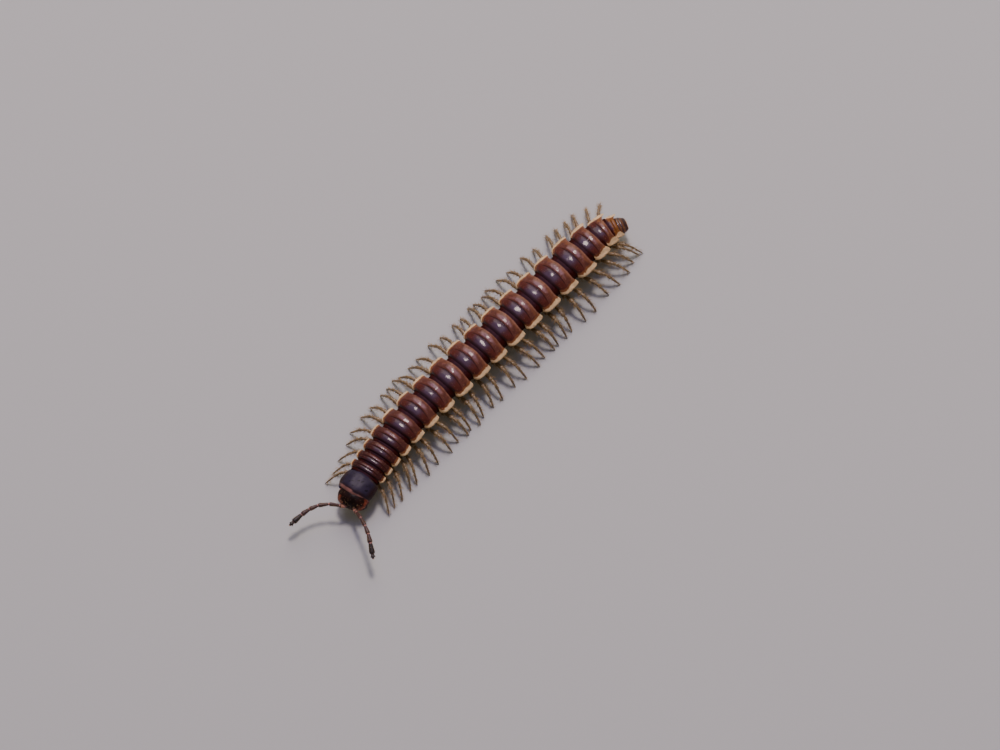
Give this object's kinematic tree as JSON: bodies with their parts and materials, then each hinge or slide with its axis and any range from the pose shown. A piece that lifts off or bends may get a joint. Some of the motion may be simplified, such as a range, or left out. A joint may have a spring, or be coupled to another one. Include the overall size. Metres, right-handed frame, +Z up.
{
  "type": "greenhouse millipede",
  "caption": "Life-size still model of a flat-backed greenhouse millipede walking, with keeled body rings, jointed legs and two antennae.",
  "frame": {"origin": "bottom centre of the bounding box, on the floor that the feet stand on", "axes": "-X towards the head and +X towards the tail, +Y towards the animal's right side, +Z up"},
  "size_m": [0.0232, 0.0066, 0.0019],
  "materials": {
    "head_cuticle": "glossy dark brown cuticle",
    "antenna_cuticle": "dark brown, downy",
    "collum_cuticle": "glossy black-brown cuticle",
    "ring_cuticle": "glossy chestnut-brown cuticle with pale keels and legs",
    "telson_cuticle": "glossy brown cuticle with pale edges"
  },
  "bodies": {
    "root": {"head": "head_cuticle", "antenna_left": "antenna_cuticle", "antenna_right": "antenna_cuticle", "collum": "collum_cuticle", "ring_02": "ring_cuticle", "ring_03": "ring_cuticle", "ring_04": "ring_cuticle", "ring_05": "ring_cuticle", "ring_06": "ring_cuticle", "ring_07": "ring_cuticle", "ring_08": "ring_cuticle", "ring_09": "ring_cuticle", "ring_10": "ring_cuticle", "ring_11": "ring_cuticle", "ring_12": "ring_cuticle", "ring_13": "ring_cuticle", "ring_14": "ring_cuticle", "ring_15": "ring_cuticle", "ring_16": "ring_cuticle", "ring_17": "ring_cuticle", "ring_18": "ring_cuticle", "ring_19": "ring_cuticle", "telson": "telson_cuticle"}
  },
  "joints": []
}
